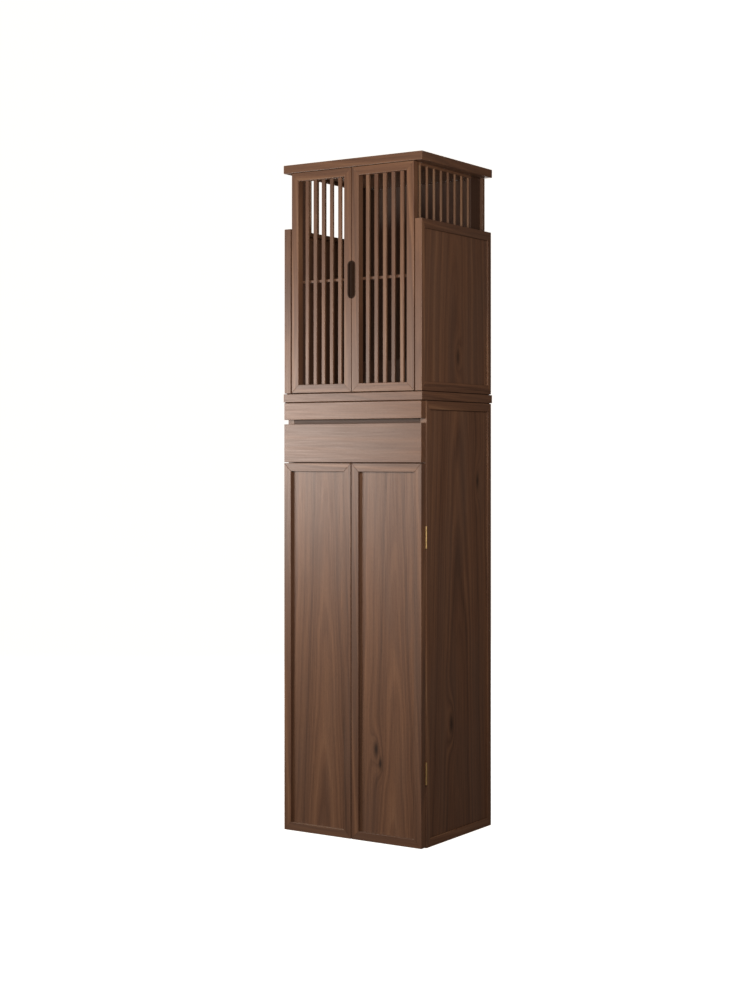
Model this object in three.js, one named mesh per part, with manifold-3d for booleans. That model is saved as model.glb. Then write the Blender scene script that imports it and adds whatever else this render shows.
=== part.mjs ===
// Household altar cabinet in dark walnut. A tall cupboard with two panelled doors, a drawer and a pull-out
// offering tray carries a shrine with slatted doors, slatted side screens and two panelled shoulders.
// Lengths are millimetres. +Z is up, the front faces -Y, and +X is to the right of someone facing the front.
// The origin is on the floor under the middle of the cabinet.
import * as THREE from "three";
import { mergeVertices } from "three/addons/utils/BufferGeometryUtils.js";
import Module from "manifold-3d";

const wasm = await Module();
wasm.setup();

// Gap that pieces keep where they touch, and how far a cut or a joint runs past a face.
const fit = 0.3;
const overrun = 1;

// Boards: the middle board and the cornice have the same outline.
const boardWidth = 480;
const boardDepth = 400;
const boardThickness = 24;
const innerBoardThickness = 18;
const backPanelThickness = 9;
const revealGap = 2.2;
const revealInset = 3;

// Fronts of the base, from the floor up.
const doorFloorGap = 2;
const baseDoorHeight = 1080.6;
const frontGap = 2.6;
const drawerFrontHeight = 111.6;
const fingerGap = 13;
const trayFrontHeight = 49.3;
const trayFrontTopGap = 0.2;
const frontThickness = 22;
const frontSideInset = 2.5;
const frontJoint = 2.5;
const doorMeetingGap = 2.5;

// Carcass of the base.
const sideThickness = 22;
const baseBackInset = 6.5;
const bottomBoardHeight = 12;
const drawerRailRise = 6;
const trayRailRise = 0.5;

// Frames and panels.
const doorMember = 24;
const sideStile = 18;
const sideRail = 24;
const shoulderRail = 26;
const grooveDepth = 6;
const doorPanelRecess = 10;
const doorPanelThickness = 8;
const sidePanelRecess = 5;
const sideTongueThickness = 6;

// Drawer and tray.
const drawerWall = 12;
const drawerWallHeight = 79;
const drawerBottomThickness = 6;
const drawerBackRoom = 22.2;
const slideSideClearance = 2;
const slideFloorClearance = 1;
const trayThickness = 12;
const trayBackRoom = 34.2;

// Shrine.
const shrineHeight = 648.3;
const shoulderHeight = 484.3;
const shoulderThickness = 22.5;
const shoulderInset = 2;
const shoulderBackInset = 3;
const shrineFrontInset = 2;
const shrineBackInset = 1;
const shoulderGap = 4;
const shrineDoorTopGap = 1.5;
const shrineDoorBottomGap = 0.5;

// Slatted shrine doors.
const doorSlatCount = 5;
const doorSlatWidth = 11.8;
const doorSlatThickness = 7;
const doorSlatRecess = 11;
const doorBarHeight = 8;
const doorBarRise = 3.3;
const doorBarThickness = 3.4;
const pivotInset = 5;
const pivotRadius = 2;
const pivotReach = 6;
const pivotClearance = 0.4;

// Finger pull across the two meeting stiles.
const pullWidth = 28;
const pullHeight = 110;
const pullDepth = 8;
const pullPocketDepth = 5;
const pullRim = 3.6;
const pullLip = 1.6;

// Slatted side screens above the shoulders.
const screenSlatCount = 8;
const screenSlatWidth = 6;
const screenSlatThickness = 6;
const screenLastGap = 8;
const screenInset = 5;
const screenHeadHeight = 8;
const screenSillHeight = 12;
const screenSillDrop = 4;
const screenRailInner = 2;

// Posts of the shrine.
const frontPostInset = 12.5;
const frontPostWidth = 16;
const frontPostDepth = 17;
const frontPostGap = 2.5;
const rearPostWidth = 16.5;
const rearPostDepth = 14;
const rearBoardDepth = 54.6;

// Step for statues at the back of the shrine.
const stepHeight = 87.5;
const stepDepth = 111;
const stepThickness = 15;
const stepSideGap = 1;

// Brass butt hinges of the base doors.
const hingeHeight = 63;
const hingeEndDistance = 208;
const hingeBarrelRadius = 2.7;
const hingePinRadius = 1.4;
const hingePinClearance = 0.4;
const hingePlateThickness = 0.8;
const hingePlateReach = 21;
const hingeBarrelCount = 5;
const roundSides = 16;

// Heights of the levels that the pieces share, from the floor up.
const baseDoorTop = doorFloorGap + baseDoorHeight;
const drawerFrontBottom = baseDoorTop + frontGap;
const drawerFrontTop = drawerFrontBottom + drawerFrontHeight;
const trayFrontBottom = drawerFrontTop + fingerGap;
const baseTop = trayFrontBottom + trayFrontHeight + trayFrontTopGap;
const middleBoardBottom = baseTop + revealGap;
const middleBoardTop = middleBoardBottom + boardThickness;
const shrineBottom = middleBoardTop + revealGap;
const corniceBottom = shrineBottom + shrineHeight;
const shoulderTop = shrineBottom + shoulderHeight;
const shrineFloorTop = shrineBottom + innerBoardThickness;
const bottomBoardTop = bottomBoardHeight + innerBoardThickness;
const drawerRailTop = drawerFrontBottom + drawerRailRise;
const trayRailTop = trayFrontBottom + trayRailRise;
const shrineDoorBottom = shrineBottom + shrineDoorBottomGap;
const shrineDoorTop = corniceBottom - shrineDoorTopGap;
const pullMiddle = (shrineDoorBottom + shrineDoorTop) / 2;

// Depths of the planes that the pieces share, from front to back.
const boardFront = -boardDepth / 2;
const boardBack = boardDepth / 2;
const carcassFront = boardFront + frontThickness + frontJoint;
const carcassBack = boardBack - baseBackInset;
const shrineFront = boardFront + shrineFrontInset;
const shrineBack = boardBack - shrineBackInset;
const pivotBack = shrineFront + pivotInset + pivotRadius + pivotClearance;
const shrineDoorBack = shrineFront + frontThickness;
const shrineInnerFront = shrineDoorBack + frontPostGap;
const shoulderBack = boardBack - shoulderBackInset;
const frontPostBack = shrineInnerFront + frontPostDepth;
const rearPostFront = shrineBack - rearPostDepth;
const rearBoardFront = rearPostFront - rearBoardDepth;
const shrinePanelFront = shrineBack - fit - backPanelThickness;
const basePanelFront = carcassBack - backPanelThickness;

// Distances from the middle plane to either side.
const boardSide = boardWidth / 2;
const frontSide = boardSide - frontSideInset;
const carcassInner = boardSide - sideThickness;
const meetingSide = doorMeetingGap / 2;
const shoulderOuter = boardSide - shoulderInset;
const shoulderInner = shoulderOuter - shoulderThickness;
const coreSide = shoulderInner - shoulderGap;
const screenOuter = coreSide - screenInset;
const screenInner = screenOuter - screenSlatThickness;
const rearPostInner = coreSide - rearPostWidth;
const drawerSide = carcassInner - slideSideClearance;

const walnutFront = new THREE.MeshStandardMaterial({ color: 0x7b5a48, roughness: 0.5, metalness: 0 });
const walnutSide = new THREE.MeshStandardMaterial({ color: 0x5a3d2e, roughness: 0.5, metalness: 0 });
const walnutBoard = new THREE.MeshStandardMaterial({ color: 0x6a4a3a, roughness: 0.5, metalness: 0 });
const walnutInside = new THREE.MeshStandardMaterial({ color: 0x4a3226, roughness: 0.6, metalness: 0 });
const darkPull = new THREE.MeshStandardMaterial({ color: 0x3a271e, roughness: 0.6, metalness: 0 });
const brass = new THREE.MeshStandardMaterial({ color: 0xb59a63, roughness: 0.35, metalness: 1 });

// A closed mesh as a solid that can be joined and cut.
function solidOf(geometry) {
  geometry.deleteAttribute("normal");
  geometry.deleteAttribute("uv");
  const merged = mergeVertices(geometry);
  const vertProperties = merged.attributes.position.array;
  const triVerts = new Uint32Array(merged.index.array);
  return new wasm.Manifold(new wasm.Mesh({ numProp: 3, vertProperties, triVerts }));
}

// A solid as a geometry with flat faces.
function geometryOf(solid) {
  const { vertProperties, triVerts } = solid.getMesh();
  const indexed = new THREE.BufferGeometry();
  indexed.setAttribute("position", new THREE.BufferAttribute(vertProperties, 3));
  indexed.setIndex(new THREE.BufferAttribute(triVerts, 1));
  const flat = indexed.toNonIndexed();
  flat.computeVertexNormals();
  return flat;
}

// A block is written as its lowest and its highest corner.
function block(low, high) {
  return { low, high };
}

// A block made larger on both sides of each axis, or smaller where the amount is negative.
function grown({ low, high }, amounts) {
  return block(
    low.map((value, axis) => value - amounts[axis]),
    high.map((value, axis) => value + amounts[axis]),
  );
}

// A block with its two faces across one axis moved to new places.
function between({ low, high }, axis, [from, to]) {
  return block(low.with(axis, from), high.with(axis, to));
}

function sizeOf({ low, high }) {
  return high.map((value, axis) => value - low[axis]);
}

function middleOf({ low, high }) {
  return high.map((value, axis) => (value + low[axis]) / 2);
}

function solidBlock(shape) {
  return solidOf(new THREE.BoxGeometry(...sizeOf(shape)).translate(...middleOf(shape)));
}

// A round bar that stands upright.
function solidBar(radius, x, y, from, to) {
  const bar = new THREE.CylinderGeometry(radius, radius, to - from, roundSides);
  return solidOf(bar.rotateX(Math.PI / 2).translate(x, y, (from + to) / 2));
}

function blockPiece(name, shape, material) {
  const mesh = new THREE.Mesh(new THREE.BoxGeometry(...sizeOf(shape)), material);
  mesh.name = name;
  mesh.position.set(...middleOf(shape));
  return mesh;
}

function solidPiece(name, solid, material) {
  const mesh = new THREE.Mesh(geometryOf(solid), material);
  mesh.name = name;
  return mesh;
}

// A mitred frame with a panel in its grooves. The members' widths are given for each axis, with none along
// the axis that the opening runs through. The tongue and the field are the panel's two depths on that axis.
function framedPanel({ outer, members, through, tongue, field }) {
  const along = [0, 1, 2].map((axis) => (axis === through ? 0 : 1));
  const opening = grown(outer, members.map((width) => -width));
  const cutThrough = grown(opening, along.map((flag) => (flag ? 0 : overrun)));
  const grooveReach = along.map((flag) => flag * grooveDepth);
  const groove = between(grown(opening, grooveReach), through, [tongue[0] - fit, tongue[1] + fit]);
  const frame = solidBlock(outer).subtract(solidBlock(cutThrough)).subtract(solidBlock(groove));
  const tongueReach = along.map((flag) => flag * (grooveDepth - fit));
  const fieldReach = along.map((flag) => -flag * fit);
  const tongueBlock = between(grown(opening, tongueReach), through, tongue);
  const fieldBlock = between(grown(opening, fieldReach), through, field);
  const panel = solidBlock(tongueBlock).add(solidBlock(fieldBlock));
  return { frame, panel };
}

// An upright side wall: its panel is flush inside and lies deeper than the frame outside.
function framedSide(outer, rail) {
  const tongueMiddle = (outer.low[0] + outer.high[0]) / 2;
  return framedPanel({
    outer,
    members: [0, sideStile, rail],
    through: 0,
    tongue: [tongueMiddle - sideTongueThickness / 2, tongueMiddle + sideTongueThickness / 2],
    field: [outer.low[0], outer.high[0] - sidePanelRecess],
  });
}

// The racetrack outline of the finger pull, as a solid sunk into the front face of the shrine doors.
function pullSolid(width, height, depth) {
  const radius = width / 2;
  const straight = height / 2 - radius;
  const outline = new THREE.Shape();
  outline.absarc(0, straight, radius, 0, Math.PI, false);
  outline.absarc(0, -straight, radius, Math.PI, 2 * Math.PI, false);
  outline.closePath();
  const settings = { depth: depth + overrun, bevelEnabled: false, curveSegments: roundSides };
  const geometry = new THREE.ExtrudeGeometry(outline, settings);
  return solidOf(geometry.rotateX(Math.PI / 2).translate(0, shrineFront + depth, pullMiddle));
}

// The right half of the finger pull: a shallow cup, flush with the door, with a lip at the meeting edge.
function pullHalf(door) {
  const body = pullSolid(pullWidth - 2 * fit, pullHeight - 2 * fit, pullDepth - fit);
  const pocketWidth = pullWidth - 2 * pullRim;
  const pocket = pullSolid(pocketWidth, pullHeight - 2 * pullRim, pullPocketDepth);
  const pocketSide = block([meetingSide + pullLip, ...door.low.slice(1)], door.high);
  const pocketHalf = pocket.intersect(solidBlock(grown(pocketSide, [0, overrun, 0])));
  return body.intersect(solidBlock(door)).subtract(pocketHalf);
}

const cabinet = new THREE.Group();
const right = new THREE.Group();
const left = new THREE.Group();
left.scale.x = -1;
cabinet.add(right, left);

// Adds a piece on the right and its mirror image on the left.
function addPair(mesh) {
  const twin = mesh.clone();
  twin.name = `${mesh.name}_left`;
  mesh.name = `${mesh.name}_right`;
  right.add(mesh);
  left.add(twin);
}

// Boards that run across the whole cabinet, and the thin strips that part the middle one from its neighbours.
function addBoards() {
  const boards = [
    ["middle_board", middleBoardBottom],
    ["cornice_board", corniceBottom],
  ];
  for (const [name, bottom] of boards) {
    const board = block([-boardSide, boardFront, bottom], [boardSide, boardBack, bottom + boardThickness]);
    cabinet.add(solidPiece(name, cutPivotSockets(solidBlock(board)), walnutBoard));
  }
  const baseReveal = block(
    [-boardSide + revealInset, boardFront + revealInset, baseTop + fit],
    [boardSide - revealInset, carcassBack - revealInset, middleBoardBottom - fit],
  );
  const shrineReveal = block(
    [-shoulderOuter + revealInset, pivotBack + fit, middleBoardTop + fit],
    [shoulderOuter - revealInset, shoulderBack - revealInset, shrineBottom - fit],
  );
  cabinet.add(blockPiece("base_reveal_board", baseReveal, walnutInside));
  cabinet.add(blockPiece("shrine_reveal_board", shrineReveal, walnutInside));
}

// The pivot pins of the shrine doors turn in sockets in the boards above and below.
function pivotBars(radius, reach) {
  return [-1, 1].map((side) => {
    const x = side * (coreSide - pivotInset);
    const y = shrineFront + pivotInset;
    return solidBar(radius, x, y, middleBoardTop - reach, corniceBottom + reach);
  });
}

function cutPivotSockets(board) {
  const sockets = pivotBars(pivotRadius + pivotClearance, pivotReach + overrun);
  return sockets.reduce((cut, socket) => cut.subtract(socket), board);
}

// The base carcass: two framed sides, and boards between them.
function addBaseCarcass() {
  const outer = block([carcassInner, carcassFront, 0], [boardSide, carcassBack, baseTop]);
  const side = framedSide(outer, sideRail);
  addPair(solidPiece("base_side_frame", side.frame, walnutSide));
  addPair(solidPiece("base_side_panel", side.panel, walnutSide));
  const across = carcassInner - fit;
  const boards = [
    ["base_bottom_board", bottomBoardTop],
    ["base_drawer_rail", drawerRailTop],
    ["base_tray_rail", trayRailTop],
  ];
  for (const [name, top] of boards) {
    const low = [-across, carcassFront, top - innerBoardThickness];
    cabinet.add(blockPiece(name, block(low, [across, basePanelFront - fit, top]), walnutInside));
  }
  const back = block([-across, basePanelFront, bottomBoardHeight], [across, carcassBack, baseTop]);
  cabinet.add(blockPiece("base_back_panel", back, walnutInside));
}

// A framed and panelled door of the base, and the leaves of its two hinges.
function addBaseDoors() {
  const panelFront = boardFront + doorPanelRecess;
  const panelRange = [panelFront, panelFront + doorPanelThickness];
  const doorBack = boardFront + frontThickness;
  const door = framedPanel({
    outer: block([meetingSide, boardFront, doorFloorGap], [frontSide, doorBack, baseDoorTop]),
    members: [doorMember, 0, doorMember],
    through: 1,
    tongue: panelRange,
    field: panelRange,
  });
  addPair(solidPiece("base_door_frame", door.frame, walnutFront));
  addPair(solidPiece("base_door_panel", door.panel, walnutFront));
  const heights = { lower: doorFloorGap + hingeEndDistance, upper: baseDoorTop - hingeEndDistance };
  for (const [level, height] of Object.entries(heights))
    for (const role of ["carcass", "door"]) {
      const leaf = solidPiece(`hinge_${level}_${role}_leaf`, hingeLeaf(role === "carcass"), brass);
      const offset = fit + hingeBarrelRadius;
      leaf.position.set(frontSide + offset, carcassFront - offset, height);
      addPair(leaf);
    }
}

// One leaf of a butt hinge, about the pin's middle. The carcass leaf has the outer and middle barrels and
// the pin, and the door leaf the barrels between them. Both plates lie in the joint behind the door.
function hingeLeaf(onCarcass) {
  const plateBack = onCarcass ? hingeBarrelRadius : hingeBarrelRadius - hingePlateThickness - fit;
  const plateFront = plateBack - hingePlateThickness;
  const half = hingeHeight / 2;
  const plateEdge = -hingeBarrelRadius - fit;
  const plate = block([-hingePlateReach, plateFront, -half], [plateEdge, plateBack, half]);
  const barrelPitch = hingeHeight / hingeBarrelCount;
  let leaf = solidBlock(plate);
  for (let index = onCarcass ? 0 : 1; index < hingeBarrelCount; index += 2) {
    const from = -half + index * barrelPitch + (index ? fit / 2 : 0);
    const to = -half + (index + 1) * barrelPitch - (index === hingeBarrelCount - 1 ? 0 : fit / 2);
    const tab = block([plateEdge - overrun, plateFront, from], [0, plateBack, to]);
    leaf = leaf.add(solidBlock(tab)).add(solidBar(hingeBarrelRadius, 0, 0, from, to));
  }
  if (onCarcass) return leaf.add(solidBar(hingePinRadius, 0, 0, -half, half));
  return leaf.subtract(solidBar(hingePinRadius + hingePinClearance, 0, 0, -half - overrun, half + overrun));
}

// A front that lies over the carcass across the base's whole width.
function frontBlock(bottom, top) {
  return block([-frontSide, boardFront, bottom], [frontSide, boardFront + frontThickness, top]);
}

// The drawer: a front, two walls and a back that stand on a bottom board.
function addDrawer() {
  const boxFront = boardFront + frontThickness + fit;
  const boxBack = basePanelFront - drawerBackRoom;
  const bottomLow = drawerRailTop + slideFloorClearance;
  const bottomHigh = bottomLow + drawerBottomThickness;
  const wallLow = bottomHigh + fit;
  const wallHigh = wallLow + drawerWallHeight;
  const front = frontBlock(drawerFrontBottom, drawerFrontTop);
  const bottom = block([-drawerSide, boxFront, bottomLow], [drawerSide, boxBack, bottomHigh]);
  const wall = block([drawerSide - drawerWall, boxFront, wallLow], [drawerSide, boxBack, wallHigh]);
  const backSide = drawerSide - drawerWall - fit;
  const back = block([-backSide, boxBack - drawerWall, wallLow], [backSide, boxBack, wallHigh]);
  cabinet.add(blockPiece("drawer_front", front, walnutFront));
  cabinet.add(blockPiece("drawer_bottom", bottom, walnutInside));
  cabinet.add(blockPiece("drawer_back", back, walnutInside));
  addPair(blockPiece("drawer_wall", wall, walnutInside));
}

// The offering tray: a low front with a plain board behind it.
function addTray() {
  const boardBottom = trayRailTop + slideFloorClearance;
  const trayStart = boardFront + frontThickness + fit;
  const front = frontBlock(trayFrontBottom, trayFrontBottom + trayFrontHeight);
  const board = block(
    [-drawerSide, trayStart, boardBottom],
    [drawerSide, basePanelFront - trayBackRoom, boardBottom + trayThickness],
  );
  cabinet.add(blockPiece("tray_front", front, walnutFront));
  cabinet.add(blockPiece("tray_board", board, walnutInside));
}

// The shoulders that stand on either side of the shrine.
function addShoulders() {
  const outer = block([shoulderInner, shrineFront, shrineBottom], [shoulderOuter, shoulderBack, shoulderTop]);
  const shoulder = framedSide(outer, shoulderRail);
  addPair(solidPiece("shoulder_frame", shoulder.frame, walnutSide));
  addPair(solidPiece("shoulder_panel", shoulder.panel, walnutSide));
}

// The shrine's floor, back, posts and step.
function addShrineCore() {
  const floorSide = shoulderInner - fit;
  const postBottom = shrineFloorTop + fit;
  const postTop = corniceBottom - fit;
  const floor = block([-floorSide, shrineInnerFront, shrineBottom], [floorSide, shrineBack, shrineFloorTop]);
  cabinet.add(blockPiece("shrine_floor_board", floor, walnutInside));
  const frontPost = block(
    [coreSide - frontPostInset - frontPostWidth, shrineInnerFront, postBottom],
    [coreSide - frontPostInset, frontPostBack, postTop],
  );
  addPair(blockPiece("shrine_front_post", frontPost, walnutSide));
  const post = block([rearPostInner, rearPostFront, postBottom], [shoulderInner - fit, shrineBack, postTop]);
  const board = block(
    [rearPostInner, rearBoardFront, postBottom],
    [screenOuter, rearPostFront + overrun, postTop],
  );
  addPair(solidPiece("shrine_rear_post", solidBlock(post).add(solidBlock(board)), walnutSide));
  const backSide = rearPostInner - fit;
  const back = block([-backSide, shrinePanelFront, postBottom], [backSide, shrineBack - fit, postTop]);
  cabinet.add(blockPiece("shrine_back_panel", back, walnutInside));
  addStep(backSide - stepSideGap, shrinePanelFront - fit, postBottom);
}

// A step for statues: a top board on two long legs.
function addStep(halfWidth, back, bottom) {
  const whole = block([-halfWidth, back - stepDepth, bottom], [halfWidth, back, bottom + stepHeight]);
  const hollow = block(
    [-halfWidth - overrun, back - stepDepth + stepThickness, bottom - overrun],
    [halfWidth + overrun, back - stepThickness, bottom + stepHeight - stepThickness],
  );
  cabinet.add(solidPiece("shrine_step", solidBlock(whole).subtract(solidBlock(hollow)), walnutInside));
}

// The slatted screens between the shrine's front and rear posts, above the shoulders.
function addSideScreens() {
  const front = frontPostBack + fit;
  const back = rearBoardFront - fit;
  const sillTop = shoulderTop - screenSillDrop;
  const headTop = corniceBottom - fit;
  const railInner = screenInner - screenRailInner;
  const railOuter = screenOuter + screenRailInner;
  const sill = block([railInner, front, sillTop - screenSillHeight], [shoulderInner - fit, back, sillTop]);
  const head = block([railInner, front, headTop - screenHeadHeight], [railOuter, back, headTop]);
  const pitch = (back - front - screenLastGap - screenSlatWidth) / (screenSlatCount - 1);
  let screen = solidBlock(sill).add(solidBlock(head));
  for (let index = 0; index < screenSlatCount; index += 1) {
    const slatFront = front + index * pitch;
    const slat = block(
      [screenInner, slatFront, sillTop - overrun],
      [screenOuter, slatFront + screenSlatWidth, headTop - screenHeadHeight + overrun],
    );
    screen = screen.add(solidBlock(slat));
  }
  addPair(solidPiece("side_screen", screen, walnutSide));
}

// The slatted doors of the shrine, each on two pivot pins, with half of the finger pull in the meeting stile.
function addShrineDoors() {
  const outer = block(
    [meetingSide, shrineFront, shrineDoorBottom],
    [coreSide, shrineDoorBack, shrineDoorTop],
  );
  const opening = grown(outer, [-doorMember, 0, -doorMember]);
  const frame = solidBlock(outer)
    .subtract(solidBlock(grown(opening, [0, overrun, 0])))
    .subtract(pullSolid(pullWidth, pullHeight, pullDepth));
  const pivot = pivotBars(pivotRadius, pivotReach)[1];
  const pivotEnds = pivot.subtract(solidBlock(grown(outer, [overrun, overrun, -overrun])));
  addPair(solidPiece("shrine_door_frame", frame.add(pivotEnds), walnutFront));
  addDoorSlats(opening);
  const barFront = shrineFront + doorSlatRecess + doorSlatThickness + fit;
  const barMiddle = pullMiddle + doorBarRise;
  const bar = block(
    [opening.low[0] + fit, barFront, barMiddle - doorBarHeight / 2],
    [opening.high[0] - fit, barFront + doorBarThickness, barMiddle + doorBarHeight / 2],
  );
  addPair(blockPiece("shrine_door_bar", bar, walnutSide));
  addPair(solidPiece("shrine_door_pull", pullHalf(outer), darkPull));
}

// The upright slats of one door, spaced evenly across its opening.
function addDoorSlats(opening) {
  const [low, high] = [opening.low, opening.high];
  const gap = (high[0] - low[0] - doorSlatCount * doorSlatWidth) / (doorSlatCount + 1);
  const slatFront = shrineFront + doorSlatRecess;
  for (let index = 0; index < doorSlatCount; index += 1) {
    const from = low[0] + gap + index * (doorSlatWidth + gap);
    const slat = block(
      [from, slatFront, low[2] + fit],
      [from + doorSlatWidth, slatFront + doorSlatThickness, high[2] - fit],
    );
    addPair(blockPiece(`shrine_door_slat_${index + 1}`, slat, walnutFront));
  }
}

addBoards();
addBaseCarcass();
addBaseDoors();
addDrawer();
addTray();
addShoulders();
addShrineCore();
addSideScreens();
addShrineDoors();

export default cabinet;
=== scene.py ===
"""Household altar cabinet in oiled walnut: its boards, mitred frames, slats, pulls and brass hinges."""
import math
import random
from collections import namedtuple

import bmesh
import bpy
from mathutils import Euler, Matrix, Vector


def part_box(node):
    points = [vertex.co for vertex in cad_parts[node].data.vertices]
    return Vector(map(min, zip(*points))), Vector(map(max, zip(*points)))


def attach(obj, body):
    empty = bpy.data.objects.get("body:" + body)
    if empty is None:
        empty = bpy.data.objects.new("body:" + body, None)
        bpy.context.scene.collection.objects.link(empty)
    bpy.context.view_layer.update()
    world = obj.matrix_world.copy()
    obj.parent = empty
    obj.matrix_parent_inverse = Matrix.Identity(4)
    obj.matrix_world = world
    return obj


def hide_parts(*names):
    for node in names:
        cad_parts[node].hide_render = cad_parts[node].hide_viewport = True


bl_info = {
    "name": "Household altar cabinet",
    "version": (1, 0, 0),
    "blender": (4, 5, 0),
    "location": "3D View > Sidebar > Altar",
    "description": "Dresses a household altar cabinet in oiled walnut and brass, and sets up a studio for it",
    "category": "Object",
}

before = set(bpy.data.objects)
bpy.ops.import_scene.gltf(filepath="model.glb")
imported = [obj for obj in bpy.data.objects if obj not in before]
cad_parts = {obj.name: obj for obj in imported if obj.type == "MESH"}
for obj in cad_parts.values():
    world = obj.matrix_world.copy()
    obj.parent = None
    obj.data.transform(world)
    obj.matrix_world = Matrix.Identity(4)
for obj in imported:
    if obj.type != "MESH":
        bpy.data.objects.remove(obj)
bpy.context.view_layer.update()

MM = 0.001
X, Y, Z = 0, 1, 2
SIDES = ("left", "right")

# Joinery sizes that the frames and screens are split by.
DOOR_MEMBER = 24 * MM
SIDE_STILE = 18 * MM
SIDE_RAIL = 24 * MM
SHOULDER_RAIL = 26 * MM
SCREEN_SILL_HEIGHT = 12 * MM
SCREEN_HEAD_HEIGHT = 8 * MM
SCREEN_RAIL_OVERHANG = 2 * MM
SCREEN_SLAT_THICKNESS = 6 * MM
SCREEN_SLAT_WIDTH = 6 * MM
SCREEN_SLAT_COUNT = 8
SCREEN_LAST_GAP = 8 * MM
DOOR_SLAT_COUNT = 5
REAR_POST_DEPTH = 14 * MM
END_BAND = 1.2 * MM

# Shrine door pivots.
PIVOT_INSET = 5 * MM
PIVOT_RADIUS = 2 * MM

# Distances below which vertices are one, angles above which an edge is sharp, and edges that stay unrounded.
MERGE_DISTANCE = 0.01 * MM
CUT_DISTANCE = 0.001 * MM
COPLANAR_ANGLE = math.radians(1)
SHARP_ANGLE = math.radians(28)
SMOOTH_ANGLE = math.radians(35)
SHORT_EDGE = 2 * MM
EASING_SEGMENTS = 2
ROUND_SIDES = 32

# How a board was sawn: how far it lies from the middle of the trunk, across its face and through it.
Sawing = namedtuple("Sawing", "across_low across_high depth_low depth_high")
STRAIGHT = Sawing(130 * MM, 210 * MM, -30 * MM, 30 * MM)
PLAIN = Sawing(-22 * MM, 22 * MM, 34 * MM, 58 * MM)
RIFT = Sawing(50 * MM, 90 * MM, 60 * MM, 90 * MM)
TRUNK_LENGTH = 3.0

# The axes that a board's grain runs along, spreads across and goes down from its face, with its own place in
# the trunk and its own shade.
Figure = namedtuple("Figure", "along across depth centre shift tone")
Board = namedtuple("Board", "surface figure finish")

# The knots that show in the panels.
Knot = namedtuple("Knot", "place size darkness")
KNOTS = {
    "base_door_panel_right": (
        Knot((0.080, -0.2, 0.266), 18 * MM, 0.95),
        Knot((0.094, -0.2, 0.226), 14 * MM, 0.95),
    ),
    "base_side_panel_right": (
        Knot((0.24, -0.03, 0.33), 24 * MM, 0.9),
        Knot((0.24, 0.12, 1.03), 20 * MM, 0.9),
    ),
    "shoulder_panel_right": (
        Knot((0.22, 0.01, 1.39), 20 * MM, 0.8),
    ),
}
KNOT_STRETCH = (0.34, 1.0, 0.0)
KNOT_BEND = 1.6
KNOT_HEART_POWER = 5.0

# The walnut's figure. A stretch is how many cells of noise there are in a metre along, across and through the
# board, and a span maps the noise between its first two values to the range between its last two.
TRUNK_TAPER = 0.035
WANDER = 0.05
WANDER_STRETCH = (1.3, 6.0, 6.0)
CAST_STRETCH = (2.2, 14.0, 14.0)
FIBRE_LENGTH_RATIO = 70
FIBRE_ROUGHNESS = 0.6
PORE_LENGTH_RATIO = 18
COARSE_DETAIL = 2.0
FINE_DETAIL = 3.0
BAND_SHARE = 0.7
RING_SHARE = 0.4
FIBRE_SHARE = 0.6
TONE_SHARE = 0.14
COLOUR_PLACES = {"vein": 0.12, "heart": 0.42, "warm": 0.66, "pale": 0.95}
GREY_SPAN = {"From Min": 0.42, "From Max": 0.68, "To Min": 0.0, "To Max": 0.4}
PORE_SPAN = {"From Min": 0.34, "From Max": 0.44, "To Min": 0.78, "To Max": 1.0}
NOISE_SPAN = {"From Min": 0.3, "From Max": 0.7}
DRY_ROUGHNESS = 0.06
OILED_ROUGHNESS = -0.04
# How far the cover colour hides the walnut: a dark stain on the finger pull, and painted shade on the wood
# inside the cabinet.
SHADE_SHARE = 0.8
PORE_RELIEF = 0.7
WOOD_BUMP = {"Strength": 0.35, "Distance": 0.25 * MM}
WALNUT_IOR = 1.5
PULL_SPECULAR = 0.15

# The metals. The brush lines on real brass lie 0.15 mm apart, and are drawn 0.4 mm apart so that they show.
BRUSH_STRETCH = (2500.0, 2500.0, 60.0)
PATINA_STRETCH = (90.0, 90.0, 90.0)
PATINA_SPAN = {"From Min": 0.35, "From Max": 0.7, "To Min": 0.0, "To Max": 0.5}
PATINA_SHADE = 0.8
BRASS_ROUGHNESS = {"To Min": 0.42, "To Max": 0.56}
BRUSH_BUMP = {"Strength": 0.2, "Distance": 0.05 * MM}
WEAR_STRETCH = (700.0, 700.0, 700.0)
WEAR_COLOURS = ((0.35, "1a1817"), (0.75, "3c3835"))
STEEL_ROUGHNESS = {"To Min": 0.55, "To Max": 0.4}

# What the nodes are set to. A Mix node's sockets for colours go by number, because its other sockets share
# their names.
MULTIPLY = {"operation": "MULTIPLY"}
MULTIPLY_ADD = {"operation": "MULTIPLY_ADD"}
LENGTH = {"operation": "LENGTH"}
VECTORS = {"data_type": "FLOAT_VECTOR"}
COLOURS = {"data_type": "RGBA"}
COLOUR_A, COLOUR_B, MIXED_COLOUR = 6, 7, 2
# Leaves only the parts of a place across the board and through it.
CROSS_SECTION = (0.0, 1.0, 1.0)

# The slats' and screws' makings.
SLAT_EDGE_STEPS = 4
DOOR_SLAT_SEED = 3
SCREEN_SLAT_SEED = 11
SCREW_SIDES = 24
SCREW_COUNT = 3
SCREW_END_DISTANCE = 9 * MM
SCREW_EDGE_DISTANCE = 6 * MM
SCREW_STAGGER = 6 * MM
SCREW_SLOT_WIDTH = 0.7 * MM
SCREW_SLOT_REACH = 1.3
LEAF_THICKNESS = 0.8 * MM
BARREL_REACH = 8 * MM

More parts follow.
